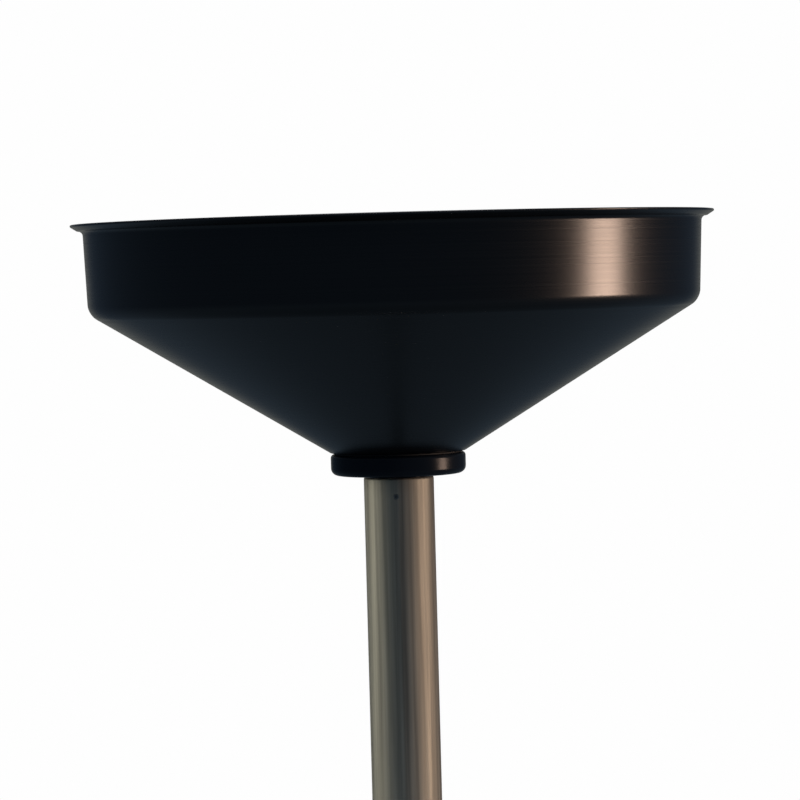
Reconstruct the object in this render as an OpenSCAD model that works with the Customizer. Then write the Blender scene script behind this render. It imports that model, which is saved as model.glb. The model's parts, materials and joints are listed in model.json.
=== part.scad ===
// Gas tiki torch: a spun metal funnel bowl on a tube post, with a burner and lava rock in the bowl,
// a quarter-turn key valve in the post and a bolt-down foot. +Z up, origin under the foot's centre,
// the valve key at -Y. Millimetres.

/* [Post] */
// Length of the post tube
post_length = 1524; // [900:1:2400]
// Outside diameter of the post tube
post_od = 38.1; // [36:0.1:60]
// Wall of the post tube
post_wall = 2.4; // [1.8:0.1:2.6]
// Height of the key valve above the ground
valve_height = 610; // [400:1:700]

/* [Bowl] */
// Diameter across the rolled lip
lip_od = 348; // [290:1:450]
// How far the lip stands out past the band
lip_overhang = 6.7; // [5:0.1:10]
// Height of the rolled lip
lip_height = 3.6; // [3.4:0.1:6]
// How far the lip tapers to its edge
lip_taper = 3.6; // [2.5:0.1:4.5]
// Height of the upright band, from the shoulder to the lip
band_height = 44.8; // [36:0.1:70]
// Inward lean of the band, in degrees
band_draft = 2.3; // [0:0.1:4]
// Slope of the funnel above level, in degrees
funnel_slope = 31.4; // [25:0.1:40]
// Sheet thickness of the bowl
bowl_wall = 1.6; // [1:0.1:2.2]
// Outside radius of the shoulder between funnel and band
shoulder_radius = 7; // [4:0.5:12]

/* [Collar] */
// Diameter of the collar under the bowl
collar_od = 73.4; // [66:0.1:90]
// Height of the collar
collar_height = 11.2; // [9:0.1:20]
// Radius of the collar's lower edge
collar_edge_radius = 4; // [1:0.5:6]
// Radius of the collar's upper edge
collar_top_edge = 2; // [0.5:0.1:3]
// How far the underside of the collar runs down to the seat of the post
seat_height = 1.4; // [0.8:0.1:4]
// Length of the spigot that plugs into the post
spigot_length = 26; // [20:1:60]
// Distance of the post's set screws below the collar
set_screw_drop = 11.5; // [8:0.5:16]
// Thickness of the gasket between collar and bowl
gasket_thickness = 0.8; // [0.5:0.1:2]

/* [Burner] */
// Outside radius of the burner's drum
burner_radius = 70; // [50:1:84]
// Depth of the burner's drum
burner_depth = 16; // [14:1:24]
// Sheet thickness of burner, guard and tray
burner_wall = 1.5; // [1:0.1:2]
// How far the flame guard's top stays below the lip
guard_drop = 8; // [4:1:16]
// How far the rock tray's edge stays inside the shoulder
tray_setback = 8.6; // [6:0.1:24]
// Largest size of a lava rock
rock_size = 26; // [18:1:30]

/* [Gas line] */
// Outside diameter of the riser tube
riser_od = 12.7; // [9.5:0.1:14]
// Wall of the riser tube
riser_wall = 1.2; // [0.8:0.1:1.6]
// Bore radius of the inlet thread
inlet_bore_radius = 9.15; // [7:0.05:10]
// Depth of the inlet thread
inlet_depth = 18; // [12:1:20]
// Width across the flats of the valve's square stem
stem_square = 6.35; // [5:0.05:6.4]
// Length of the key, from its socket's mouth to the middle of its bar
key_length = 80; // [50:1:140]
// Length of the key's cross bar
key_bar_length = 64; // [40:1:100]

/* [Foot] */
// Diameter of the base plate
plate_od = 240; // [200:1:320]
// Thickness of the base plate
plate_thickness = 9.5; // [8:0.5:16]
// Distance of an anchor hole's centre from the plate's edge
anchor_edge = 25; // [14:1:40]
// Diameter of an anchor hole
anchor_hole = 11; // [9:0.5:14]
// Height of the socket that holds the post
socket_height = 90; // [70:1:140]
// Wall of the socket
socket_wall = 6.2; // [5:0.1:9]
// Sheet thickness of the base cover
cover_wall = 1.5; // [1:0.1:2]

/* [Hidden] */
$fn = 96;

// Clearances
cut = 1;            // how far a cutter runs past what it cuts
slip = 0.05;        // thread and running fits, on the radius
loose = 0.15;       // hand-assembled fits, on the radius
gap = 0.35;         // between pieces that lift apart

// Heights
post_radius = post_od / 2;
post_bore = post_radius - post_wall;
head_z = plate_thickness + post_length + seat_height;
bowl_z = head_z + collar_height + gasket_thickness;
collar_radius = collar_od / 2;
band_top_radius = lip_od / 2 - lip_overhang;
band_foot_radius = band_top_radius - band_height * tan(band_draft);
shoulder_z = bowl_z + (band_foot_radius - collar_radius) * tan(funnel_slope);
lip_under_z = shoulder_z + band_height;
lip_top_z = lip_under_z + lip_height;

// Head fixings
flange_screw_radius = 2.45;
drain_radius = 2.5;
flange_radius = collar_radius - 5;
flange_screw_circle = flange_radius - 7.2;      // radius of the circle of flange screws
flange_thickness = 5;
flange_z = bowl_z + bowl_wall;
hub_radius = 14;
hub_height = 8;
nipple_radius = riser_od / 2 + 2.6;             // male thread round the riser
nipple_length = 6;
riser_radius = riser_od / 2;
set_screw_radius = 1.45;
set_screw_length = post_wall + loose + 1.6;
set_screw_angle = 265;                          // the first of three, a little left of the front

// Burner stack, from the riser's top upwards
nut_height = 10;
riser_top_z = flange_z + flange_thickness + hub_height + nut_height + 9;
holder_radius = riser_radius + 3.2;
holder_cup = 8;                                 // depth of the cup over the riser
mixer_radius = holder_radius + slip + 3;
shutter_wall = 2;
port_radius = 4;
port_z = riser_top_z + 18;
shutter_height = 20;
tray_thickness = burner_wall + 0.5;
tray_radius = band_foot_radius - tray_setback;
tray_foot_radius = tray_radius - tray_thickness / tan(funnel_slope);
tray_z = bowl_z + (tray_foot_radius - collar_radius) * tan(funnel_slope)
    + (bowl_wall + gap) / cos(funnel_slope);
burner_z = port_z + shutter_height / 2 + 6.7;   // underside of the burner's drum
burner_flange = 6;
burner_rim_radius = burner_radius + burner_flange;
burner_top_z = burner_z + burner_depth + burner_wall;
tray_bore = burner_rim_radius + 4;
tray_lip = 8;
guard_radius = burner_radius - 2;

// Key valve, measured from its centre
valve_radius = min(13, post_bore - 3);
ball_radius = 8.5;
chamber_radius = ball_radius + 0.2;
chamber_half = 9.2;
way_radius = 5;                                 // the gas way through ball and body
valve_down = 27;                                // centre to the foot of the body
valve_up = 14;                                  // centre to the top of the body
end_flange = 8;
pipe_nipple_radius = riser_radius + 1.65;
pipe_nipple = 12;
boss_radius = 7;
boss_reach = post_radius + 9;
saddle_front = post_radius + 4;
stem_radius = 4.5;
nut_front = boss_reach + 3;
square_length = 12;
key_mouth = nut_front + 0.5;
nut_across = 2 * pipe_nipple_radius + 6;        // across the flats of the pipe nuts

// Gas line heights
coupling_radius = 13.5;
coupling_foot = 1;
coupling_height = 38;
coupling_top = coupling_foot + coupling_height;
connector_foot = coupling_top + pipe_nipple;
connector_top = valve_height - valve_down - pipe_nipple;
riser_foot_z = valve_height + valve_up + end_flange + pipe_nipple - holder_cup;

// Foot
plate_radius = plate_od / 2;
socket_bore = post_radius + loose;
socket_radius = socket_bore + socket_wall;
weld_leg = 5;
socket_screw_z = plate_thickness + socket_height * 0.55;
socket_screw_radius = 3.95;
skirt_radius = plate_radius + 5;
skirt_height = plate_thickness + 3;
cover_foot = 0.8;
neck_radius = post_radius + 3.6;
neck_height = 6;
cover_top = plate_thickness + socket_height + 16;

// ---- Outlines ----

function unit(v) = v / norm(v);

// Points along an arc of radius r round centre c, from angle a by sweep
function arc(c, r, a, sweep, steps) =
    [for (i = [0 : steps]) c + r * [cos(a + sweep * i / steps), sin(a + sweep * i / steps)]];

// The corner b between a and c, rounded to radius r
function corner(a, b, c, r, steps) =
    r <= 0 ? [b] :
    let (u = unit(a - b), v = unit(c - b), half = acos(u * v) / 2,
        o = b + unit(u + v) * r / sin(half),
        p = b + u * r / tan(half) - o,
        q = b + v * r / tan(half) - o,
        from = atan2(p[1], p[0]),
        turn = atan2(q[1], q[0]) - from,
        sweep = turn > 180 ? turn - 360 : turn < -180 ? turn + 360 : turn)
    arc(o, r, from, sweep, steps);

// A closed outline with each corner rounded to its own radius
function rounded(points, radii, steps = 6) =
    let (n = len(points))
    [for (i = [0 : n - 1])
        each corner(points[(i + n - 1) % n], points[i], points[(i + 1) % n], radii[i], steps)];

module turned(points, radii, steps = 6) {
    rotate_extrude() polygon(rounded(points, radii, steps));
}

// Ring between two radii
module ring(outer, inner, height) {
    difference() {
        cylinder(r = outer, h = height);
        translate([0, 0, -cut]) cylinder(r = inner, h = height + 2 * cut);
    }
}

// Hexagon by its width across the flats
module hex(across, height) {
    cylinder(r = across / 2 / cos(30), h = height, $fn = 6);
}

// Copies children count times round Z, the first at angle start
module around(count, start = 0) {
    for (i = [0 : count - 1]) rotate([0, 0, start + i * 360 / count]) children();
}

// ---- Head ----

module bowl() {
    wall_x = bowl_wall / cos(band_draft);               // sheet measured level through the band
    wall_z = bowl_wall / cos(funnel_slope);             // sheet measured upright through the funnel
    inner_shoulder = band_foot_radius - wall_x - bowl_wall * tan(band_draft);
    inner_shoulder_z = shoulder_z + wall_z - (band_foot_radius - inner_shoulder) * tan(funnel_slope);
    inner_foot = collar_radius - (wall_z - bowl_wall) / tan(funnel_slope);
    hole = hub_radius - 2;
    color([0.03, 0.035, 0.04]) difference() {
        turned([[hole, bowl_z], [collar_radius, bowl_z], [band_foot_radius, shoulder_z],
                [band_top_radius, lip_under_z], [lip_od / 2 - lip_taper, lip_under_z],
                [lip_od / 2, lip_top_z - 1.1], [lip_od / 2, lip_top_z],
                [band_top_radius - wall_x, lip_top_z], [inner_shoulder, inner_shoulder_z],
                [inner_foot, flange_z], [hole, flange_z]],
            [0, 1.2, shoulder_radius, 0.8, 0.8, 0.8, 0.6,
                lip_height - 1, max(1, shoulder_radius - bowl_wall), 1.2 + bowl_wall, 0], 8);
        translate([0, 0, bowl_z - cut]) {
            flange_pattern(flange_screw_radius + 0.3, bowl_wall + 2 * cut);
            drain_pattern(bowl_wall + 2 * cut);
        }
    }
}

module flange_pattern(radius, height) {
    around(3, 90) translate([flange_screw_circle, 0, 0]) cylinder(r = radius, h = height);
}

module drain_pattern(height) {
    around(3, 30) translate([flange_screw_circle + 1.5, 0, 0]) cylinder(r = drain_radius, h = height);
}

module base_collar() {
    spigot_radius = post_bore - loose;
    color([0.02, 0.022, 0.025]) difference() {
        turned([[riser_radius + 3, head_z - spigot_length], [spigot_radius, head_z - spigot_length],
                [spigot_radius, head_z - seat_height], [post_radius + 0.3, head_z - seat_height],
                [collar_radius, head_z],
                [collar_radius, head_z + collar_height],
                [riser_radius + 3, head_z + collar_height]],
            [0, 1, 0, 0, collar_edge_radius, collar_top_edge, 0], 8);
        translate([0, 0, head_z + 2.5]) flange_pattern(flange_screw_radius + slip, collar_height);
        translate([0, 0, head_z - cut]) drain_pattern(collar_height + 2 * cut);
        around(3, set_screw_angle) translate([post_radius - set_screw_length - 0.4, 0, head_z - set_screw_drop])
            rotate([0, 90, 0]) cylinder(r = set_screw_radius + slip, h = post_wall + 4);
    }
}

module collar_gasket() {
    color([0.12, 0.12, 0.11]) difference() {
        translate([0, 0, head_z + collar_height]) ring(collar_radius - collar_top_edge, hub_radius, gasket_thickness);
        translate([0, 0, head_z + collar_height - cut]) {
            flange_pattern(flange_screw_radius + 0.3, gasket_thickness + 2 * cut);
            drain_pattern(gasket_thickness + 2 * cut);
        }
    }
}

module clamp_flange() {
    top = flange_z + flange_thickness + hub_height;
    bore = riser_radius + loose;
    color([0.62, 0.62, 0.6]) difference() {
        turned([[bore, flange_z], [flange_radius, flange_z], [flange_radius, flange_z + flange_thickness],
                [hub_radius, flange_z + flange_thickness], [hub_radius, top], [nipple_radius, top],
                [nipple_radius, top + nipple_length], [bore, top + nipple_length]],
            [0, 0.5, 1.5, 2, 1, 0, 0.5, 0]);
        translate([0, 0, flange_z - cut]) {
            flange_pattern(flange_screw_radius + 0.3, flange_thickness + 2 * cut);
            drain_pattern(flange_thickness + 2 * cut);
        }
    }
}

module flange_screws() {
    seat = flange_z + flange_thickness;
    color([0.7, 0.7, 0.72]) around(3, 90) translate([flange_screw_circle, 0, 0]) {
        difference() {
            union() {
                translate([0, 0, head_z + 3]) cylinder(r = flange_screw_radius, h = seat - head_z - 3 + 0.1);
                translate([0, 0, seat + 0.05]) turned([[0, 0], [4.3, 0], [4.3, 5], [0, 5]], [0, 0, 0.8, 0]);
            }
            translate([0, 0, seat + 2.5]) hex(4, 5);
        }
    }
}

module post_set_screws() {
    color([0.25, 0.25, 0.26]) around(3, set_screw_angle)
        translate([post_radius - 0.2 - set_screw_length, 0, head_z - set_screw_drop]) rotate([0, 90, 0])
            difference() {
                turned([[0, 0], [set_screw_radius, 0], [set_screw_radius, set_screw_length],
                        [0, set_screw_length]], [0, 0.8, 0.3, 0], 4);
                translate([0, 0, set_screw_length - 2.2]) hex(1.5, 3);
            }
}

module riser_tube() {
    color([0.72, 0.73, 0.74]) translate([0, 0, riser_foot_z])
        ring(riser_radius, riser_radius - riser_wall, riser_top_z - riser_foot_z);
}

// Nut that draws a tube onto a male nipple: wide bore over the nipple, narrow over the tube
module pipe_nut(across, height, wide, wide_depth, narrow) {
    difference() {
        intersection() {
            hex(across, height);
            turned([[0, 0], [across / 2 / cos(30) - 0.2, 0], [across / 2 / cos(30) - 0.2, height], [0, height]],
                [0, 1.4, 1.4, 0], 4);
        }
        translate([0, 0, -cut]) cylinder(r = wide, h = wide_depth + cut);
        translate([0, 0, -cut]) cylinder(r = narrow, h = height + 2 * cut);
    }
}

module riser_nut() {
    color([0.75, 0.6, 0.3]) translate([0, 0, flange_z + flange_thickness + hub_height + 0.1])
        pipe_nut(2 * nipple_radius + 6, nut_height, nipple_radius + slip, nipple_length + 0.4,
            riser_radius + loose);
}

module orifice_holder() {
    foot = riser_top_z - holder_cup;
    color([0.75, 0.6, 0.3]) difference() {
        turned([[0, foot], [mixer_radius, foot], [mixer_radius, foot + 3], [holder_radius, foot + 3],
                [holder_radius, riser_top_z + 8], [0, riser_top_z + 8]],
            [0, 0.6, 0.4, 0, 1.5, 0]);
        translate([0, 0, foot - cut]) cylinder(r = riser_radius + slip, h = holder_cup + cut);
        translate([0, 0, riser_top_z - cut]) cylinder(r = 2.95, h = 12);
    }
}

module orifice_jet() {
    color([0.82, 0.68, 0.36]) translate([0, 0, riser_top_z + 2]) difference() {
        union() {
            cylinder(r = 2.9, h = 7);
            translate([0, 0, 6.1]) hex(8, 4);
        }
        translate([0, 0, -cut]) cylinder(r = 1.6, h = 9);
        cylinder(r = 0.8, h = 12);
    }
}

module mixer_tube() {
    foot = riser_top_z - holder_cup + 3.1;
    bead = port_z - shutter_height / 2;                 // the shutter rests on this bead
    color([0.2, 0.2, 0.21]) difference() {
        turned([[holder_radius + slip, foot], [mixer_radius, foot], [mixer_radius, bead - 3.2],
                [mixer_radius + shutter_wall, bead - 3.2], [mixer_radius + shutter_wall, bead - 0.2],
                [mixer_radius, bead - 0.2], [mixer_radius, burner_z - 4.6], [mixer_radius + 7, burner_z - 2.6],
                [mixer_radius + 7, burner_z - 0.1], [mixer_radius, burner_z - 0.1],
                [mixer_radius, burner_z + 7], [holder_radius + slip, burner_z + 7]],
            [0, 0, 0, 1, 1, 0, 0.8, 0, 0, 0, 0.6, 0], 4);
        around(4) translate([0, 0, port_z]) rotate([0, 90, 0])
            cylinder(r = port_radius, h = mixer_radius + shutter_wall);
    }
}

module air_shutter() {
    color([0.66, 0.66, 0.66]) difference() {
        translate([0, 0, port_z - shutter_height / 2])
            ring(mixer_radius + slip + shutter_wall, mixer_radius + slip, shutter_height);
        around(4) translate([0, 0, port_z]) rotate([0, 90, 0])
            cylinder(r = port_radius, h = mixer_radius + 2 * shutter_wall);
        shutter_screw_place() translate([0, 0, -cut]) cylinder(r = 2, h = shutter_wall + 2 * cut);
    }
}

module shutter_screw_place() {
    rotate([0, 0, 225]) translate([mixer_radius + slip, 0, port_z]) rotate([0, 90, 0]) children();
}

module shutter_screw() {
    head_z0 = shutter_wall + 0.3;
    color([0.75, 0.6, 0.3]) shutter_screw_place() {
        translate([0, 0, 0.2]) cylinder(r = 1.95, h = head_z0);
        translate([0, 0, head_z0]) turned([[0, 0], [4.6, 0], [4.6, 5], [0, 5]], [0, 0.8, 0.8, 0]);
    }
}

module burner_locknut() {
    color([0.7, 0.7, 0.7]) translate([0, 0, burner_z + burner_wall + 0.05]) difference() {
        hex(2 * mixer_radius + 7, 4);
        translate([0, 0, -cut]) cylinder(r = mixer_radius + slip, h = 6);
    }
}

module burner_pan() {
    rim = burner_z + burner_depth;
    color([0.6, 0.58, 0.55]) difference() {
        turned([[mixer_radius + slip, burner_z], [burner_radius, burner_z],
                [burner_radius, rim - burner_wall], [burner_rim_radius, rim - burner_wall],
                [burner_rim_radius, rim], [burner_radius - burner_wall, rim],
                [burner_radius - burner_wall, burner_z + burner_wall],
                [mixer_radius + slip, burner_z + burner_wall]],
            [0, 4, 0.5, 0, 0, 2, 4 - burner_wall, 0]);
        translate([0, 0, rim - 4]) burner_screw_pattern(2.2, 6);
    }
}

module burner_screw_pattern(radius, height) {
    around(4, 45) translate([burner_radius + burner_flange / 2 + 0.2, 0, 0]) cylinder(r = radius, h = height);
}

module burner_baffle() {
    height = burner_depth - burner_wall - 5;
    color([0.6, 0.58, 0.55]) translate([0, 0, burner_z + burner_wall + 0.05]) {
        translate([0, 0, height - 1.2]) cylinder(r = mixer_radius + 10, h = 1.2);
        around(3, 30) translate([mixer_radius + 8, 0, 0]) cylinder(r = 1.5, h = height - 1);
    }
}

module burner_top() {
    color([0.6, 0.58, 0.55]) difference() {
        translate([0, 0, burner_z + burner_depth + 0.05]) cylinder(r = burner_rim_radius, h = burner_wall - 0.05);
        translate([0, 0, burner_z + burner_depth - cut]) {
            burner_screw_pattern(2.2, 6);
            burner_ports(burner_radius - 8, 36);
            burner_ports(burner_radius - 20, 26);
            burner_ports(burner_radius - 33, 16);
        }
    }
}

// One ring of gas ports
module burner_ports(radius, count) {
    around(count) translate([radius, 0, 0]) cylinder(r = 1.6, h = burner_wall + 3 * cut);
}

module burner_screws() {
    color([0.7, 0.7, 0.72]) burner_screw_row();
}

module burner_screw_row() {
    shank = burner_wall * 2 + 3;
    around(4, 45) translate([burner_radius + burner_flange / 2 + 0.2, 0, 0]) {
        translate([0, 0, burner_top_z - shank]) cylinder(r = 2, h = shank + 0.1);
        translate([0, 0, burner_top_z + 0.05]) turned([[0, 0], [2.7, 0], [2.7, 2.4], [0, 2.4]], [0, 0, 1, 0]);
    }
}

module flame_guard() {
    foot = burner_top_z + gap;
    height = lip_top_z - guard_drop - foot;
    rows = max(1, floor((height - 8) / 8));
    pitch = (height - 6) / rows;
    color([0.62, 0.6, 0.56]) difference() {
        turned([[guard_radius - burner_wall, foot], [guard_radius, foot], [guard_radius, foot + height],
                [guard_radius - 9, foot + height], [guard_radius - 9, foot + height - burner_wall],
                [guard_radius - burner_wall, foot + height - burner_wall]],
            [0, 0, 2.2, 0, 0, 0.7]);
        for (row = [0 : rows - 1]) around(30, row * 6)
            translate([guard_radius - 4, 0, foot + 3 + pitch * (row + 0.5)]) rotate([0, 90, 0])
                cylinder(r = 2.8, h = 6);
    }
}

module rock_tray() {
    lip_top = tray_z + tray_thickness + tray_lip;
    color([0.1, 0.1, 0.1]) difference() {
        rotate_extrude() polygon([[tray_bore, tray_z], [tray_foot_radius, tray_z],
            [tray_radius, tray_z + tray_thickness], [tray_bore + tray_thickness, tray_z + tray_thickness],
            [tray_bore + tray_thickness, lip_top], [tray_bore, lip_top]]);
        for (ring = [0 : 2]) around(24 + 6 * ring, 4 * ring)
            translate([tray_bore + 14 + ring * (tray_radius - tray_bore - 28) / 2, 0, tray_z - cut])
                cylinder(r = 4, h = tray_thickness + 2 * cut);
    }
}

// A rough lump inside a ball of the given radius: two rings of five corners between two poles
module rock(radius, seed) {
    swell = rands(0.78, 1, 12, seed);
    pole = [0, 0, radius];
    flat = 2 / sqrt(5);
    lower = [for (i = [0 : 4]) radius * swell[i + 1] * [flat * cos(72 * i), flat * sin(72 * i), -1 / sqrt(5)]];
    upper = [for (i = [0 : 4])
        radius * swell[i + 6] * [flat * cos(72 * i + 36), flat * sin(72 * i + 36), 1 / sqrt(5)]];
    polyhedron(points = concat([-pole * swell[0]], lower, upper, [pole * swell[11]]),
        faces = [for (i = [0 : 4]) each [[0, 1 + i, 1 + (i + 1) % 5],
            [1 + i, 6 + i, 1 + (i + 1) % 5], [1 + (i + 1) % 5, 6 + i, 6 + (i + 1) % 5],
            [11, 6 + (i + 1) % 5, 6 + i]]]);
}

module lava_rocks() {
    inner = tray_bore + tray_thickness + rock_size / 2 + 1;
    outer = tray_radius - 1;
    rings = floor((outer - inner) / (rock_size + 1)) + 1;
    lift = tray_z + tray_thickness + rock_size / 2 + 0.2;
    color([0.28, 0.26, 0.25]) for (ring = [0 : rings - 1]) {
        radius = inner + ring * (rock_size + 1);
        count = floor(180 / asin((rock_size + 0.8) / 2 / radius));
        for (i = [0 : count - 1]) {
            seed = ring * 100 + i;
            turn = rands(0, 360, 3, seed + 7);
            rotate([0, 0, (i + ring / 2) * 360 / count]) translate([radius, 0, lift]) rotate(turn)
                rock(rock_size / 2, seed);
        }
    }
}

// ---- Post and gas line ----

module post() {
    edge = 0.8;
    top = head_z - seat_height - 0.1;
    color([0.5, 0.49, 0.45]) difference() {
        turned([[post_bore, plate_thickness + 0.1], [post_radius, plate_thickness + 0.1],
                [post_radius, top], [post_bore, top]],
            [0.3, edge, 1.4, 0.3], 6);
        around(3, set_screw_angle) translate([post_bore - cut, 0, head_z - set_screw_drop])
            rotate([0, 90, 0]) cylinder(r = set_screw_radius + slip, h = post_wall + 2 * cut);
        translate([0, 0, valve_height]) rotate([90, 0, 0])
            cylinder(r = boss_radius + 0.3, h = post_radius + cut);
    }
}

module riser_spacers() {
    thickness = 12;
    span = head_z - spigot_length - riser_foot_z;
    color([0.1, 0.1, 0.1]) for (share = [0.3, 0.7])
        translate([0, 0, riser_foot_z + span * share]) difference() {
            ring(post_bore - gap, riser_radius + slip, thickness);
            around(3) translate([post_bore, 0, -cut]) cylinder(r = 4.5, h = thickness + 2 * cut);
        }
}

// Turns an upright shape to lie along -Y from the valve's centre
module along_stem() {
    translate([0, 0, valve_height]) rotate([90, 0, 0]) children();
}

module valve_body() {
    color([0.78, 0.63, 0.32]) difference() {
        union() {
            translate([0, 0, valve_height]) turned([[0, -valve_down - pipe_nipple],
                [pipe_nipple_radius, -valve_down - pipe_nipple], [pipe_nipple_radius, -valve_down],
                [valve_radius, -valve_down], [valve_radius, valve_up], [0, valve_up]],
                [0, 0.8, 0, 2, 0.8, 0], 4);
            along_stem() cylinder(r = boss_radius, h = boss_reach);
        }
        translate([0, 0, valve_height - chamber_half])
            cylinder(r = chamber_radius, h = chamber_half + valve_up + cut);
        translate([0, 0, valve_height - valve_down - pipe_nipple - cut])
            cylinder(r = way_radius, h = valve_down + pipe_nipple);
        along_stem() cylinder(r = stem_radius + slip, h = boss_reach + cut);
    }
}

module valve_end() {
    top = valve_up + end_flange + pipe_nipple;
    color([0.78, 0.63, 0.32]) translate([0, 0, valve_height]) difference() {
        union() {
            translate([0, 0, chamber_half]) cylinder(r = chamber_radius - slip, h = valve_up - chamber_half + 1);
            translate([0, 0, valve_up + 0.1]) hex(2 * valve_radius * cos(30), end_flange - 0.1);
            translate([0, 0, valve_up + end_flange - 1]) cylinder(r = pipe_nipple_radius, h = pipe_nipple + 1);
        }
        translate([0, 0, chamber_half - cut]) cylinder(r = way_radius, h = top);
        translate([0, 0, top - holder_cup - 0.2]) cylinder(r = riser_radius + slip, h = holder_cup + cut);
    }
}

module valve_seats() {
    color([0.95, 0.95, 0.93]) translate([0, 0, valve_height]) for (side = [0, 1]) mirror([0, 0, side])
        difference() {
            translate([0, 0, 5]) ring(chamber_radius - 0.1, way_radius, chamber_half - 5.1);
            sphere(r = ball_radius + slip);
        }
}

module valve_ball() {
    color([0.85, 0.85, 0.87]) translate([0, 0, valve_height]) difference() {
        sphere(r = ball_radius);
        rotate([0, 90, 0]) translate([0, 0, -ball_radius - cut])
            cylinder(r = way_radius - 0.2, h = 2 * (ball_radius + cut));
        translate([-ball_radius, -ball_radius - cut, -1.6]) cube([2 * ball_radius, cut + 2.6, 3.2]);
    }
}

module valve_stem() {
    groove = boss_reach - 5;
    color([0.8, 0.8, 0.82]) along_stem() {
        intersection() {
            translate([-stem_radius, -1.5, ball_radius - 2.5]) cube([2 * stem_radius, 3, 4]);
            cylinder(r = stem_radius - 0.1, h = 20);
        }
        difference() {
            translate([0, 0, ball_radius + 0.3]) cylinder(r = stem_radius, h = nut_front - ball_radius - 0.3);
            translate([0, 0, groove]) ring(stem_radius + cut, stem_radius - 1, 2);
        }
        translate([-stem_square / 2, -stem_square / 2, nut_front - 1])
            cube([stem_square, stem_square, square_length + 1]);
    }
}

module stem_seal() {
    color([0.05, 0.05, 0.05]) along_stem() translate([0, 0, boss_reach - 4]) rotate_extrude()
        translate([stem_radius - 0.49, 0]) circle(r = 0.5, $fn = 24);
}

module gland_nut() {
    color([0.85, 0.85, 0.87]) along_stem() translate([0, 0, saddle_front + 0.1]) difference() {
        intersection() {
            hex(20, nut_front - saddle_front - 0.1);
            turned([[0, 0], [11.4, 0], [11.4, nut_front - saddle_front - 0.1],
                    [0, nut_front - saddle_front - 0.1]], [0, 0.4, 2.2, 0]);
        }
        translate([0, 0, -cut]) cylinder(r = boss_radius + slip, h = boss_reach - saddle_front + cut + 0.2);
        translate([0, 0, -cut]) cylinder(r = stem_radius + 0.2, h = 20);
    }
}

module escutcheon() {
    color([0.02, 0.022, 0.025]) difference() {
        along_stem() turned([[0, 0], [16, 0], [16, saddle_front], [0, saddle_front]], [0, 0, 2.5, 0]);
        cylinder(r = post_radius + 0.1, h = valve_height * 2);
        along_stem() cylinder(r = boss_radius + 0.2, h = saddle_front + cut);
    }
}

module valve_key() {
    socket = 26;
    shaft_radius = 4.5;
    hole = stem_square + 0.3;
    color([0.85, 0.85, 0.87]) along_stem() translate([0, 0, key_mouth]) difference() {
        union() {
            turned([[0, 0], [7.5, 0], [7.5, socket], [0, socket + 4]], [0, 1, 3, 0]);
            translate([0, 0, socket - 4]) cylinder(r = shaft_radius, h = key_length - socket + 4);
            translate([-key_bar_length / 2, 0, key_length]) rotate([0, 90, 0])
                cylinder(r = shaft_radius, h = key_bar_length);
            for (side = [-1, 1]) translate([side * key_bar_length / 2, 0, key_length])
                sphere(r = shaft_radius + 1.5);
            translate([0, 0, key_length]) sphere(r = shaft_radius + 1.5);
        }
        translate([-hole / 2, -hole / 2, -cut]) cube([hole, hole, square_length + 3 + cut]);
    }
}

module outlet_nut() {
    top = valve_height + valve_up + end_flange + pipe_nipple;
    color([0.75, 0.6, 0.3]) translate([0, 0, top - 10])
        pipe_nut(nut_across, 16, pipe_nipple_radius + slip, 10.4, riser_radius + loose);
}

// Corrugated hose between two plain cuffs
module flex_connector() {
    cuff = 12;
    outer = riser_radius + 1.4;
    wall = 1;
    length = connector_top - connector_foot - 0.2;
    waves = floor((length - 2 * cuff) / 10);
    pitch = (length - 2 * cuff) / waves;
    outside = [for (i = [0 : waves - 1]) each
        [[riser_radius, cuff + pitch * i], [outer, cuff + pitch * (i + 0.25)],
            [outer, cuff + pitch * (i + 0.6)], [riser_radius, cuff + pitch * (i + 0.85)]]];
    color([0.9, 0.78, 0.3]) translate([0, 0, connector_foot + 0.1]) rotate_extrude()
        polygon(concat([[riser_radius - wall, 0], [riser_radius, 0]], outside,
            [[riser_radius, length], [riser_radius - wall, length]]));
}

module connector_nuts() {
    color([0.75, 0.6, 0.3]) {
        translate([0, 0, connector_foot - 10])
            pipe_nut(nut_across, 16, pipe_nipple_radius + slip, 10.2, riser_radius + loose);
        translate([0, 0, connector_top + 10]) mirror([0, 0, 1])
            pipe_nut(nut_across, 16, pipe_nipple_radius + slip, 10.2, riser_radius + loose);
    }
}

module inlet_coupling() {
    shoulder = plate_thickness + 0.1;
    color([0.4, 0.4, 0.4]) difference() {
        union() {
            translate([0, 0, coupling_foot]) cylinder(r = coupling_radius, h = coupling_height);
            translate([0, 0, shoulder]) cylinder(r = post_bore - gap, h = 3);
            translate([0, 0, coupling_top - 1]) cylinder(r = pipe_nipple_radius, h = pipe_nipple + 1);
        }
        cylinder(r = inlet_bore_radius, h = coupling_foot + inlet_depth);
        cylinder(r = way_radius, h = connector_foot + cut);
    }
}

// ---- Foot ----

module base_plate() {
    color([0.03, 0.03, 0.035]) difference() {
        turned([[coupling_radius + 0.1, 0], [plate_radius, 0], [plate_radius, plate_thickness],
                [coupling_radius + 0.1, plate_thickness]], [0, 0.8, 1.5, 0], 4);
        around(4, 45) translate([plate_radius - anchor_edge, 0, -cut])
            cylinder(d = anchor_hole, h = plate_thickness + 2 * cut);
    }
}

module socket_screw_place() {
    around(3, 30) translate([0, 0, socket_screw_z]) rotate([0, 90, 0]) children();
}

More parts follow.
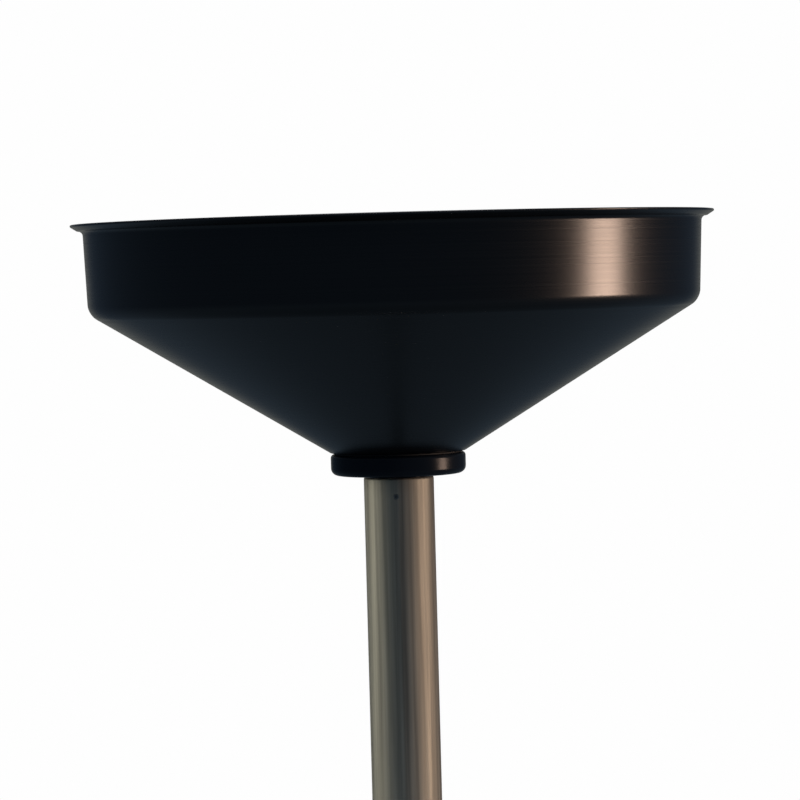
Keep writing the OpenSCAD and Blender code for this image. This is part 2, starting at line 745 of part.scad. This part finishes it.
module base_socket() {
    foot = plate_thickness + 0.05;
    color([0.03, 0.03, 0.035]) difference() {
        turned([[socket_bore, foot], [socket_radius + weld_leg, foot], [socket_radius, foot + weld_leg],
                [socket_radius, plate_thickness + socket_height], [socket_bore, plate_thickness + socket_height]],
            [0, 0, 0, 1.5, 0.5], 4);
        socket_screw_place() cylinder(r = socket_screw_radius + slip, h = socket_radius + cut);
    }
}

module socket_screws() {
    color([0.6, 0.6, 0.6]) socket_screw_place() {
        translate([0, 0, post_radius + 0.05]) cylinder(r = socket_screw_radius, h = socket_wall + 1);
        translate([0, 0, socket_radius + 0.3]) hex(13, 5.3);
    }
}

module base_cover() {
    inner = neck_radius - cover_wall;
    neck_foot = cover_top - neck_height;
    slope = atan((neck_foot - skirt_height) / (skirt_radius - neck_radius));
    drop = cover_wall / cos(slope);
    color([0.03, 0.035, 0.04]) turned(
        [[skirt_radius - cover_wall, cover_foot], [skirt_radius, cover_foot], [skirt_radius, skirt_height],
            [neck_radius, neck_foot], [neck_radius, cover_top], [inner, cover_top],
            [inner, neck_foot - drop + cover_wall * tan(slope)],
            [skirt_radius - cover_wall, skirt_height - drop + cover_wall * tan(slope)]],
        [0, 0.6, 6, 5, 0.5, 0, 5 + cover_wall, 6 - cover_wall]);
}

module cover_grommet() {
    color([0.04, 0.04, 0.04]) turned(
        [[post_radius + loose, cover_top - neck_height + 1], [neck_radius - cover_wall - slip, cover_top - neck_height + 1],
            [neck_radius - cover_wall - slip, cover_top + 0.1], [neck_radius + 1.5, cover_top + 0.1],
            [neck_radius + 1.5, cover_top + 2.6], [post_radius + loose, cover_top + 3.6]],
        [0, 0.3, 0, 0.6, 1, 0.4], 4);
}

bowl();
base_collar();
collar_gasket();
clamp_flange();
flange_screws();
post_set_screws();
riser_tube();
riser_nut();
orifice_holder();
orifice_jet();
mixer_tube();
air_shutter();
shutter_screw();
burner_locknut();
burner_pan();
burner_baffle();
burner_top();
burner_screws();
flame_guard();
rock_tray();
lava_rocks();
post();
riser_spacers();
valve_body();
valve_end();
valve_seats();
valve_ball();
valve_stem();
stem_seal();
gland_nut();
escutcheon();
valve_key();
outlet_nut();
flex_connector();
connector_nuts();
inlet_coupling();
base_plate();
base_socket();
socket_screws();
base_cover();
cover_grommet();
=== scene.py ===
"""A gas tiki torch for the garden: a spun black funnel bowl with burner, guard and lava rock, on a satin
tube post with a key valve, standing on a bolted foot with a sliding cover. Metres, +Z up, key at -Y."""
import json
import math
import random

import bmesh
import bpy
from mathutils import Euler, Matrix, Vector


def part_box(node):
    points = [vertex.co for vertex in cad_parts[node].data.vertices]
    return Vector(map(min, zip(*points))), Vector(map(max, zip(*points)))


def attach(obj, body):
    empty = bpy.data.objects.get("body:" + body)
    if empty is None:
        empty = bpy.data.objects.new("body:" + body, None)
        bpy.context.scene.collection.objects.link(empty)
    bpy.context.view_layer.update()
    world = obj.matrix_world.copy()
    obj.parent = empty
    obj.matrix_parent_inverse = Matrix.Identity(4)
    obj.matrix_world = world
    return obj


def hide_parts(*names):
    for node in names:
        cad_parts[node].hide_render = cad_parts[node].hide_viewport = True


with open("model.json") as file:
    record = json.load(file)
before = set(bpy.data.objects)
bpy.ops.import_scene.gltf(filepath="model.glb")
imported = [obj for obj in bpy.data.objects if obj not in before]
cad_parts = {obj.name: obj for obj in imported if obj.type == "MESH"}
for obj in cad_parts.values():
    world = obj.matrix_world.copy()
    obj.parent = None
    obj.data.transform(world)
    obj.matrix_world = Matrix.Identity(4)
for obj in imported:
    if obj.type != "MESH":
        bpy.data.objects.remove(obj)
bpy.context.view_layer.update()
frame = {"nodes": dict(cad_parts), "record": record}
MM = 0.001
AROUND = 192

bowl_low, bowl_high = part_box("bowl")
collar_low, collar_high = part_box("base_collar")
post_low, post_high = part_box("post")
tray_low, tray_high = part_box("rock_tray")
cover_low, cover_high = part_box("base_cover")
RIM_Z = bowl_high.z
COLLAR_Z = bowl_low.z - 12 * MM


# ---- Camera and light ----

def aim(thing, place, target, roll=0.0):
    """Stands a camera or lamp at a place and turns it to a target."""
    turn = (Vector(target) - Vector(place)).to_track_quat("-Z", "Y").to_matrix()
    thing.matrix_world = Matrix.Translation(place) @ (turn @ Matrix.Rotation(math.radians(roll), 3, "Z")).to_4x4()


def colour(hex_value):
    """A linear RGBA colour from an sRGB hex string."""
    parts = [int(hex_value[i : i + 2], 16) / 255 for i in (1, 3, 5)]
    return tuple(p / 12.92 if p <= 0.04045 else ((p + 0.055) / 1.055) ** 2.4 for p in parts) + (1.0,)


def add(tree, kind, settings=None, links=None):
    """Adds a node, makes its settings, and links its inputs."""
    node = tree.nodes.new(kind)
    for key, value in (settings or {}).items():
        if isinstance(key, str) and hasattr(node, key):
            setattr(node, key, value)
        else:
            node.inputs[key].default_value = value
    for key, source in (links or {}).items():
        tree.links.new(source, node.inputs[key])
    return node


camera = bpy.data.objects.new("head_camera", bpy.data.cameras.new("head_camera"))
bpy.context.scene.collection.objects.link(camera)
camera.data.sensor_width = 36
camera.data.lens = 152.5
camera.data.clip_end = 60
aim(camera, (0.0018, -1.84, RIM_Z - 0.029), (0.0018, 0, COLLAR_Z + 0.0398), roll=-1.52)
bpy.context.scene.camera = camera
bpy.context.scene.view_settings.view_transform = "Standard"


def softbox(name, place, target, width, height, watts, tint, spread=180):
    """A rectangular lamp that lights the object but isn't seen itself."""
    lamp = bpy.data.lights.new(name, "AREA")
    lamp.shape = "RECTANGLE"
    lamp.size = width
    lamp.size_y = height
    lamp.energy = watts
    lamp.spread = math.radians(spread)
    lamp.color = colour(tint)[:3]
    thing = bpy.data.objects.new(name, lamp)
    bpy.context.scene.collection.objects.link(thing)
    aim(thing, place, target)
    thing.visible_camera = False
    return thing


softbox("warm_lamp_right", (2.2, -0.34, RIM_Z - 0.4), (0, -0.1, RIM_Z - 0.05), 0.55, 0.42, 20, "#ffdbc3")
softbox("lamp_above", (0, -0.6, RIM_Z + 1.9), (0, 0, RIM_Z - 0.2), 1.8, 1.8, 22, "#f6f8ff")
post_lamp = softbox("post_lamp_left", (-1.6, 0.2, 1.6), (0, 0, 1.4), 1.3, 1.8, 11.5, "#fbf6e6")
softbox("foot_lamp_right", (1.7, -0.9, 0.5), (0, 0, 0.3), 0.7, 0.7, 4, "#fff4ea", 50)
softbox("foot_lamp_left", (-1.7, -0.7, 0.5), (0, 0, 0.3), 0.9, 0.7, 3, "#f4f7ff", 50)
softbox("foot_lamp_behind", (0.5, 1.9, 0.5), (0, 0, 0.3), 0.9, 0.7, 2.5, "#fbfaf6", 50)
lit = bpy.data.collections.new("lit_by_post_lamp")
lit.objects.link(frame["nodes"]["post"])
post_lamp.light_linking.receiver_collection = lit
frame["nodes"]["post"].visible_glossy = False

# The room: white to the eye, and to the object a dim bluish room with a white sheet far behind.
world = bpy.data.worlds.new("pale_room")
bpy.context.scene.world = world
world.use_nodes = True
room = world.node_tree
room.nodes.clear()
way = add(room, "ShaderNodeTexCoord")
split = add(room, "ShaderNodeSeparateXYZ", links={0: way.outputs["Generated"]})
sheet = add(room, "ShaderNodeMapRange", {"From Min": 0.88, "From Max": 1.0}, {"Value": split.outputs["Y"]})
fall = add(room, "ShaderNodeMapRange", {"From Min": -0.2, "From Max": -0.55}, {"Value": split.outputs["Z"]})
deep = add(room, "ShaderNodeMapRange", {"From Min": -0.6, "From Max": -0.9}, {"Value": split.outputs["Z"]})
ahead = add(room, "ShaderNodeMix", {"data_type": "RGBA", 6: colour("#3a4756"), 7: colour("#4d5b68")},
            {0: fall.outputs[0]})
below = add(room, "ShaderNodeMix", {"data_type": "RGBA", 7: colour("#44505b")},
            {0: deep.outputs[0], 6: ahead.outputs[2]})
behind = add(room, "ShaderNodeMix", {"data_type": "RGBA", 7: colour("#979891")},
             {0: sheet.outputs[0], 6: below.outputs[2]})
height = add(room, "ShaderNodeMapRange", {"From Min": 0.15, "From Max": 0.9}, {"Value": split.outputs["Z"]})
upward = add(room, "ShaderNodeMix", {"data_type": "RGBA", 7: colour("#a4a9b0")},
             {0: height.outputs[0], 6: behind.outputs[2]})
dim = add(room, "ShaderNodeBackground", {"Strength": 1.0}, {"Color": upward.outputs[2]})
white = add(room, "ShaderNodeBackground", {"Color": colour("#fefefe")})
ray = add(room, "ShaderNodeLightPath")
seen = add(room, "ShaderNodeMixShader", links={0: ray.outputs["Is Camera Ray"], 1: dim.outputs[0],
                                               2: white.outputs[0]})
add(room, "ShaderNodeOutputWorld", links={"Surface": seen.outputs[0]})


# ---- Finishes ----

def finish(name, base, **settings):
    """A new material with its shader's own sockets set. Returns the material, its tree and its shader."""
    material = bpy.data.materials.new(name)
    material.use_nodes = True
    tree = material.node_tree
    shader = tree.nodes["Principled BSDF"]
    shader.inputs["Base Color"].default_value = colour(base)
    for socket, value in settings.items():
        shader.inputs[socket.replace("_", " ")].default_value = value
    return material, tree, shader


def place_on(tree, scale=(1, 1, 1)):
    """The object's own coordinates in millimetres, stretched by scale."""
    spot = add(tree, "ShaderNodeTexCoord")
    return add(tree, "ShaderNodeMapping", {"Scale": [1000 * s for s in scale]}, {"Vector": spot.outputs["Object"]})


def grain(tree, scale, detail=3.0, roughness=0.5, stretch=(1, 1, 1)):
    """Noise with a grain of 1 / scale millimetres."""
    spot = place_on(tree, stretch)
    return add(tree, "ShaderNodeTexNoise", {"Scale": scale, "Detail": detail, "Roughness": roughness},
               {"Vector": spot.outputs[0]})


def between(tree, source, low, high, start=0.3, end=0.7):
    """Turns a pattern into a value from low to high."""
    return add(tree, "ShaderNodeMapRange", {"From Min": start, "From Max": end, "To Min": low, "To Max": high},
               {"Value": source}).outputs[0]


def shades(tree, source, dark, light, start=0.3, end=0.7):
    """Turns a pattern into a colour from dark to light."""
    amount = between(tree, source, 0, 1, start, end)
    return add(tree, "ShaderNodeMix", {"data_type": "RGBA", 6: colour(dark), 7: colour(light)},
               {0: amount}).outputs[2]


def relief(tree, source, shader, height_mm, strength=1.0, under=None):
    """Raises the surface by a pattern, height_mm high."""
    links = {"Height": source}
    if under:
        links["Normal"] = under.outputs[0]
    bump = add(tree, "ShaderNodeBump", {"Distance": height_mm * MM, "Strength": strength}, links)
    tree.links.new(bump.outputs[0], shader.inputs["Normal"])
    return bump


def spun_black():
    """Satin black powder coat over spun aluminium: the forming roller's fine rings show through as level
    lines in the highlight, over a slight orange peel."""
    material, tree, shader = finish("spun_black_coat", "#060708", Roughness=0.26, Specular_IOR_Level=0.5)
    spot = add(tree, "ShaderNodeTexCoord")
    parts = add(tree, "ShaderNodeSeparateXYZ", links={0: spot.outputs["Object"]})
    # rings about 1.4 mm apart, wider than the tool's real 0.5 mm so that they show
    rise = add(tree, "ShaderNodeMath", {"operation": "MULTIPLY", 1: 1000 / 1.4}, {0: parts.outputs["Z"]})
    rings = add(tree, "ShaderNodeTexNoise", {"noise_dimensions": "1D", "Scale": 1.0, "Detail": 3.0,
                                             "Roughness": 0.7}, {"W": rise.outputs[0]})
    peel = grain(tree, 0.7, 2.0)
    tree.links.new(between(tree, rings.outputs[0], 0.24, 0.28), shader.inputs["Roughness"])
    tree.links.new(shades(tree, rings.outputs[0], "#050607", "#08090b"), shader.inputs["Base Color"])
    under = add(tree, "ShaderNodeBump", {"Distance": 0.006 * MM, "Strength": 0.5}, {"Height": peel.outputs[0]})
    relief(tree, rings.outputs[0], shader, 0.003, 0.4, under)
    return material


def black_paint(name, base="#0c0d0f", rough=0.36, peel=1.4, gloss=0.5, pebble_mm=0.012):
    """Powder coat on steel or castings: baked on dry, so it is a little pebbled and evenly satin."""
    material, tree, shader = finish(name, base, Roughness=rough, Specular_IOR_Level=gloss)
    pebble = grain(tree, peel, 3.0)
    cloud = grain(tree, 0.05, 2.0)
    tree.links.new(between(tree, cloud.outputs[0], rough - 0.04, rough + 0.05), shader.inputs["Roughness"])
    relief(tree, pebble.outputs[0], shader, pebble_mm, 0.5)
    return material


def satin_tube():
    """Aluminium tube, belt-polished along its length and clear anodised: fine straight lines that spread
    the light sideways, and no mirror."""
    material, tree, shader = finish("satin_tube", "#8f8d86", Metallic=0.85, Roughness=0.6)
    # streaks about 1 mm wide, ten times the belt's real scratches so that they show, in bands of 3 mm
    lines = grain(tree, 1.0, 4.0, 0.6, (1, 1, 0.01))
    broad = grain(tree, 0.3, 2.0, 0.5, (1, 1, 0.02))
    streaked = add(tree, "ShaderNodeMath", {"operation": "MULTIPLY_ADD", 1: 0.55},
                   {0: lines.outputs[0], 2: between(tree, broad.outputs[0], 0, 0.45)})
    tree.links.new(shades(tree, streaked.outputs[0], "#78756c", "#afac9f", 0.2, 0.8), shader.inputs["Base Color"])
    tree.links.new(between(tree, lines.outputs[0], 0.5, 0.68), shader.inputs["Roughness"])
    relief(tree, lines.outputs[0], shader, 0.025, 0.5)
    return material


def drawn_steel(name, base, rough, lines_along=(1, 1, 0.05)):
    """Plated or drawn steel: grey, with short faint draw lines."""
    material, tree, shader = finish(name, base, Metallic=1.0, Roughness=rough)
    lines = grain(tree, 1.2, 3.0, 0.6, lines_along)
    tree.links.new(between(tree, lines.outputs[0], rough - 0.07, rough + 0.08), shader.inputs["Roughness"])
    relief(tree, lines.outputs[0], shader, 0.01, 0.4)
    return material


def heated_stainless():
    """Stainless sheet that has been hot: straw and bronze tints in soft clouds over a brushed grain."""
    material, tree, shader = finish("heated_stainless", "#9c968c", Metallic=1.0, Roughness=0.36)
    cloud = grain(tree, 0.03, 4.0, 0.6)
    ramp = add(tree, "ShaderNodeValToRGB", links={"Fac": cloud.outputs[0]})
    ramp.color_ramp.elements[0].position = 0.3
    ramp.color_ramp.elements[0].color = colour("#a3a29e")
    ramp.color_ramp.elements[1].position = 0.72
    ramp.color_ramp.elements[1].color = colour("#77706c")
    straw = ramp.color_ramp.elements.new(0.52)
    straw.color = colour("#a59a82")
    tree.links.new(ramp.outputs["Color"], shader.inputs["Base Color"])
    brush = grain(tree, 1.5, 3.0, 0.6, (0.08, 1, 1))
    tree.links.new(between(tree, brush.outputs[0], 0.3, 0.46), shader.inputs["Roughness"])
    relief(tree, brush.outputs[0], shader, 0.012, 0.4)
    return material


def turned_brass():
    """Machined brass, a little dulled by handling."""
    material, tree, shader = finish("turned_brass", "#c9a35a", Metallic=1.0, Roughness=0.28)
    dull = grain(tree, 0.15, 4.0, 0.6)
    tree.links.new(shades(tree, dull.outputs[0], "#b08a48", "#d4b06a"), shader.inputs["Base Color"])
    tree.links.new(between(tree, dull.outputs[0], 0.36, 0.22), shader.inputs["Roughness"])
    return material


def polished_chrome():
    """Chrome plate over brass: bright, with the faintest smears."""
    material, tree, shader = finish("polished_chrome", "#d9dadc", Metallic=1.0, Roughness=0.09)
    smear = grain(tree, 0.08, 4.0, 0.65)
    tree.links.new(between(tree, smear.outputs[0], 0.06, 0.16), shader.inputs["Roughness"])
    return material


def lava():
    """Crushed lava rock: matt, rust black, blown through with round pores of 1 to 3 mm, whose hollows carry painted
    shade.
    """
    material, tree, shader = finish("lava_rock", "#2e2725", Roughness=0.95, Specular_IOR_Level=0.25)
    spot = place_on(tree)
    pores = add(tree, "ShaderNodeTexVoronoi", {"Scale": 0.42, "Randomness": 1.0}, {"Vector": spot.outputs[0]})
    fine = add(tree, "ShaderNodeTexVoronoi", {"Scale": 1.1, "Randomness": 1.0}, {"Vector": spot.outputs[0]})
    stain = grain(tree, 0.06, 4.0, 0.6)
    body = shades(tree, stain.outputs[0], "#241f1e", "#4a342c", 0.35, 0.7)
    # painted shade: the base colour goes near black in the pore hollows, the same cells that the bump sinks as pits
    pore_shade_amount = between(tree, pores.outputs["Distance"], 0.25, 1.0, 0.12, 0.5)
    painted_pore_shade = add(tree, "ShaderNodeMix", {"data_type": "RGBA", 6: colour("#0d0b0b")}, {0: pore_shade_amount, 7: body})
    tree.links.new(painted_pore_shade.outputs[2], shader.inputs["Base Color"])
    small = add(tree, "ShaderNodeBump", {"Distance": 0.5 * MM, "Strength": 0.9}, {"Height": fine.outputs["Distance"]})
    relief(tree, pores.outputs["Distance"], shader, 1.2, 1.0, small)
    return material


def plain(name, base, rough, peel=0.8, depth=0.02, **settings):
    """A moulded or cast surface with a fine even texture."""
    material, tree, shader = finish(name, base, Roughness=rough, **settings)
    skin = grain(tree, peel, 3.0)
    tree.links.new(between(tree, skin.outputs[0], rough - 0.05, rough + 0.05), shader.inputs["Roughness"])
    relief(tree, skin.outputs[0], shader, depth, 0.5)
    return material


FINISHES = {
    "bowl_coat": spun_black(),
    "cast_black": black_paint("cast_black_enamel", "#161d25", 0.25, 0.9, 0.13),
    "black_steel": black_paint("black_powder_coat", "#0d0e10", 0.34, 0.8, pebble_mm=0.05),
    "post_metal": satin_tube(),
    "tube_steel": drawn_steel("drawn_tube", "#b4b4b2", 0.32),
    "burner_steel": heated_stainless(),
    "plain_steel": drawn_steel("zinc_plate", "#b0b2b4", 0.3, (1, 1, 1)),
    "dark_iron": plain("black_iron", "#1c1c1d", 0.6, 0.6, 0.08, Metallic=0.6),
    "brass": turned_brass(),
    "screw_steel": drawn_steel("plain_stainless", "#8f8d88", 0.42, (1, 1, 1)),
    "chrome": polished_chrome(),
    "hose_coat": plain("yellow_hose_coat", "#d8a520", 0.4, 0.5, 0.03),
    "lava": lava(),
    "seat_white": plain("seat_polymer", "#e8e8e2", 0.5),
    "rubber_black": plain("moulded_rubber", "#161616", 0.7, 1.0, 0.03),
}
for part in frame["record"]["subparts"]:
    node = frame["nodes"][part["node"]]
    node.data.materials.clear()
    node.data.materials.append(FINISHES[part["material_slot"]])


# ---- Modelling helpers ----

def only(thing):
    """Selects one object alone."""
    bpy.ops.object.select_all(action="DESELECT")
    thing.select_set(True)
    bpy.context.view_layer.objects.active = thing


def pick(piece, test):
    """In edit mode, selects the vertices that pass a test."""
    mesh = bmesh.from_edit_mesh(piece.data)
    for vertex in mesh.verts:
        vertex.select = bool(test(vertex.co))
    mesh.select_flush_mode()
    bmesh.update_edit_mesh(piece.data)


def outline(name, corners, closed=True):
    """Draws an outline in the XZ plane from (radius, height, rounding) corners, in millimetres."""
    bpy.ops.object.select_all(action="DESELECT")
    bpy.ops.mesh.primitive_plane_add(size=MM)
    piece = bpy.context.object
    piece.name = name
    bpy.ops.object.mode_set(mode="EDIT")
    bpy.ops.mesh.select_mode(type="VERT")
    bpy.ops.mesh.merge(type="CENTER")
    spots = [Vector((radius * MM, 0, height * MM)) for radius, height, _ in corners]
    bpy.ops.transform.translate(value=spots[0])
    for here, there in zip(spots, spots[1:]):
        bpy.ops.mesh.extrude_region_move(TRANSFORM_OT_translate={"value": there - here})
    if closed:
        pick(piece, lambda co: min((co - spots[0]).length, (co - spots[-1]).length) < 1e-6)
        bpy.ops.mesh.edge_face_add()
    last = len(spots)
    for i, (_, _, rounding) in enumerate(corners):
        if rounding <= 0 or (not closed and i in (0, last - 1)):
            continue
        back = (spots[i - 1] - spots[i]).normalized()
        ahead = (spots[(i + 1) % last] - spots[i]).normalized()
        half = back.angle(ahead) / 2
        pick(piece, lambda co: (co - spots[i]).length < 1e-7)
        bpy.ops.mesh.bevel(offset=rounding * MM / math.tan(half), offset_type="OFFSET", segments=8, affect="VERTICES")
    return piece


def spun(name, corners, closed=True, around=AROUND, wall=0.0):
    """Spins an outline round the Z axis; the wall argument is not used."""
    piece = outline(name, corners, closed)
    bpy.ops.mesh.select_all(action="SELECT")
    bpy.ops.mesh.spin(steps=around, angle=2 * math.pi, center=(0, 0, 0), axis=(0, 0, 1))
    bpy.ops.mesh.select_all(action="SELECT")
    bpy.ops.mesh.remove_doubles(threshold=2e-6)
    bpy.ops.mesh.normals_make_consistent(inside=False)
    bpy.ops.object.mode_set(mode="OBJECT")
    return piece


def smooth(piece, degrees=32):
    only(piece)
    bpy.ops.object.shade_smooth_by_angle(angle=math.radians(degrees))


def settle(piece, body, slot, *nodes):
    """Gives a piece its finish and its body, and lets it stand for CAD nodes."""
    piece.data.materials.clear()
    piece.data.materials.append(FINISHES[slot])
    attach(piece, body)
    if nodes:
        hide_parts(*nodes)
    return piece


# ---- Bowl ----

BOWL_FOOT = bowl_low.z / MM
BOWL_TOP = RIM_Z / MM
COLLAR_R = (collar_high.x - collar_low.x) / 2 / MM
LIP_R = (bowl_high.x - bowl_low.x) / 2 / MM
LIP_UNDER = BOWL_TOP - 3.4
BAND_TOP_R = LIP_R - 6.7
BAND_FOOT_R = BAND_TOP_R - 44.8 * math.tan(math.radians(2.3))
SHOULDER = BOWL_FOOT + (BAND_FOOT_R - COLLAR_R) * math.tan(math.radians(31.4))
SHEET = 1.6
INNER_R = BAND_FOOT_R - SHEET - 0.1
INNER_SHOULDER = SHOULDER + SHEET / math.cos(math.radians(31.4)) - 1.7 * math.tan(math.radians(31.4))

bowl = spun("spun_bowl", [
    (12, BOWL_FOOT, 0), (COLLAR_R, BOWL_FOOT, 1.2), (BAND_FOOT_R, SHOULDER, 9.5), (BAND_TOP_R, LIP_UNDER, 2.7),
    (LIP_R - 3.6, LIP_UNDER, 0.8), (LIP_R, BOWL_TOP - 1.1, 0.8), (LIP_R, BOWL_TOP, 0.6),
    (BAND_TOP_R - SHEET, BOWL_TOP, 2.6), (INNER_R, INNER_SHOULDER, 7.9), (COLLAR_R - 0.4, BOWL_FOOT + SHEET, 2.8), (12, BOWL_FOOT + SHEET, 0)])
smooth(bowl)
settle(bowl, "stand", "bowl_coat", "bowl")


# ---- Lava rock ----

def bent(piece, kind, strength, size, seed):
    """Pushes a lump's surface in and out by a cloud or cell pattern, and keeps the result."""
    pattern = bpy.data.textures.new(f"{kind}_{seed}", kind)
    pattern.noise_scale = size
    only(piece)
    push = piece.modifiers.new("push", "DISPLACE")
    push.texture = pattern
    push.strength = strength
    push.mid_level = 0.5
    push.texture_coords = "LOCAL"
    bpy.ops.object.modifier_apply(modifier=push.name)


def lump(seed, grain_size=0.12):
    """One lump of crushed rock, 1 in radius: a ball with its sides broken off flat, then weathered."""
    chance = random.Random(seed)
    bpy.ops.object.select_all(action="DESELECT")
    bpy.ops.mesh.primitive_ico_sphere_add(subdivisions=3, radius=1.08)
    piece = bpy.context.object
    bpy.ops.object.mode_set(mode="EDIT")
    bpy.ops.mesh.select_all(action="SELECT")
    bpy.ops.transform.resize(value=(1, chance.uniform(0.78, 0.98), chance.uniform(0.7, 0.9)))
    for _ in range(9):
        facing = Vector([chance.gauss(0, 1) for _ in range(3)]).normalized()
        bpy.ops.mesh.select_all(action="SELECT")
        bpy.ops.mesh.bisect(plane_co=facing * chance.uniform(0.6, 0.82), plane_no=facing, use_fill=True,
                            clear_outer=True)
    bpy.ops.object.mode_set(mode="OBJECT")
    remesh = piece.modifiers.new("remesh", "REMESH")
    remesh.mode = "VOXEL"
    remesh.voxel_size = grain_size
    bpy.ops.object.modifier_apply(modifier=remesh.name)
    bent(piece, "CLOUDS", 0.34, 0.55, seed)
    bent(piece, "VORONOI", -0.16, 0.3, seed)
    return piece


def rock_bed():
    """Lumps in three rings on the tray, and small ones in the hollows between them, joined as one bed."""
    chance = random.Random(40)
    models = [lump(seed) for seed in range(7)] + [lump(seed, 0.2) for seed in range(20, 24)]
    floor_z = tray_low.z + 2 * MM
    spots = []
    for ring, radius in enumerate((97, 124, 149)):
        count = math.floor(180 / math.degrees(math.asin(13.2 / radius)))
        spots += [(radius + chance.uniform(-1.5, 1.5), (i + ring / 2 + chance.uniform(-0.08, 0.08)) / count * 360,
                   chance.uniform(11.6, 14.6), 0, chance.randrange(7)) for i in range(count)]
    for radius in (110, 137):
        count = math.floor(radius / 5.2)
        spots += [(radius + chance.uniform(-4, 4), (i + chance.uniform(-0.3, 0.3)) / count * 360,
                   chance.uniform(5.5, 8), chance.uniform(10, 14), 7 + chance.randrange(4)) for i in range(count)]
    lumps = []
    for radius, degrees, size, up, model in spots:
        copy = models[model].copy()
        copy.data = models[model].data.copy()
        bpy.context.scene.collection.objects.link(copy)
        turn = Euler([chance.uniform(0, 2 * math.pi) for _ in range(3)]).to_matrix().to_4x4()
        copy.data.transform(Matrix.Scale(size * MM, 4) @ turn)
        depth = min(v.co.z for v in copy.data.vertices)
        place = Vector((radius * MM * math.cos(math.radians(degrees)), radius * MM * math.sin(math.radians(degrees)),
                        floor_z - depth + up * MM))
        copy.data.transform(Matrix.Translation(place))
        lumps.append(copy)
    for model in models:
        bpy.data.objects.remove(model)
    bpy.ops.object.select_all(action="DESELECT")
    for copy in lumps:
        copy.select_set(True)
    bpy.context.view_layer.objects.active = lumps[0]
    bpy.ops.object.join()
    bed = bpy.context.object
    bed.name = "lava_rock_bed"
    smooth(bed, 50)
    return bed


settle(rock_bed(), "tray", "lava", "lava_rocks")


# ---- Floor ----

bpy.ops.object.select_all(action="DESELECT")
bpy.ops.mesh.primitive_circle_add(vertices=96, radius=4.5, fill_type="NGON")
floor = bpy.context.object
floor.name = "pale_floor"
ground, ground_tree, ground_shader = finish("pale_floor", "#d8d8d6", Roughness=0.9)
spot = add(ground_tree, "ShaderNodeTexCoord")
away = add(ground_tree, "ShaderNodeVectorMath", {"operation": "LENGTH"}, {0: spot.outputs["Object"]})
fade = add(ground_tree, "ShaderNodeMapRange", {"From Min": 0.5, "From Max": 3.6, "interpolation_type": "SMOOTHSTEP"},
           {"Value": away.outputs["Value"]})
glow = add(ground_tree, "ShaderNodeEmission", {"Color": colour("#fefefe")})
joined = add(ground_tree, "ShaderNodeMixShader", links={0: fade.outputs[0], 1: ground_shader.outputs[0],
                                                        2: glow.outputs[0]})
ground_shader.inputs["Emission Color"].default_value = colour("#fefefe")
ground_shader.inputs["Emission Strength"].default_value = 0.7
ground_tree.links.new(joined.outputs[0], ground_tree.nodes["Material Output"].inputs["Surface"])
floor.data.materials.append(ground)
floor.visible_glossy = False
floor.visible_diffuse = False
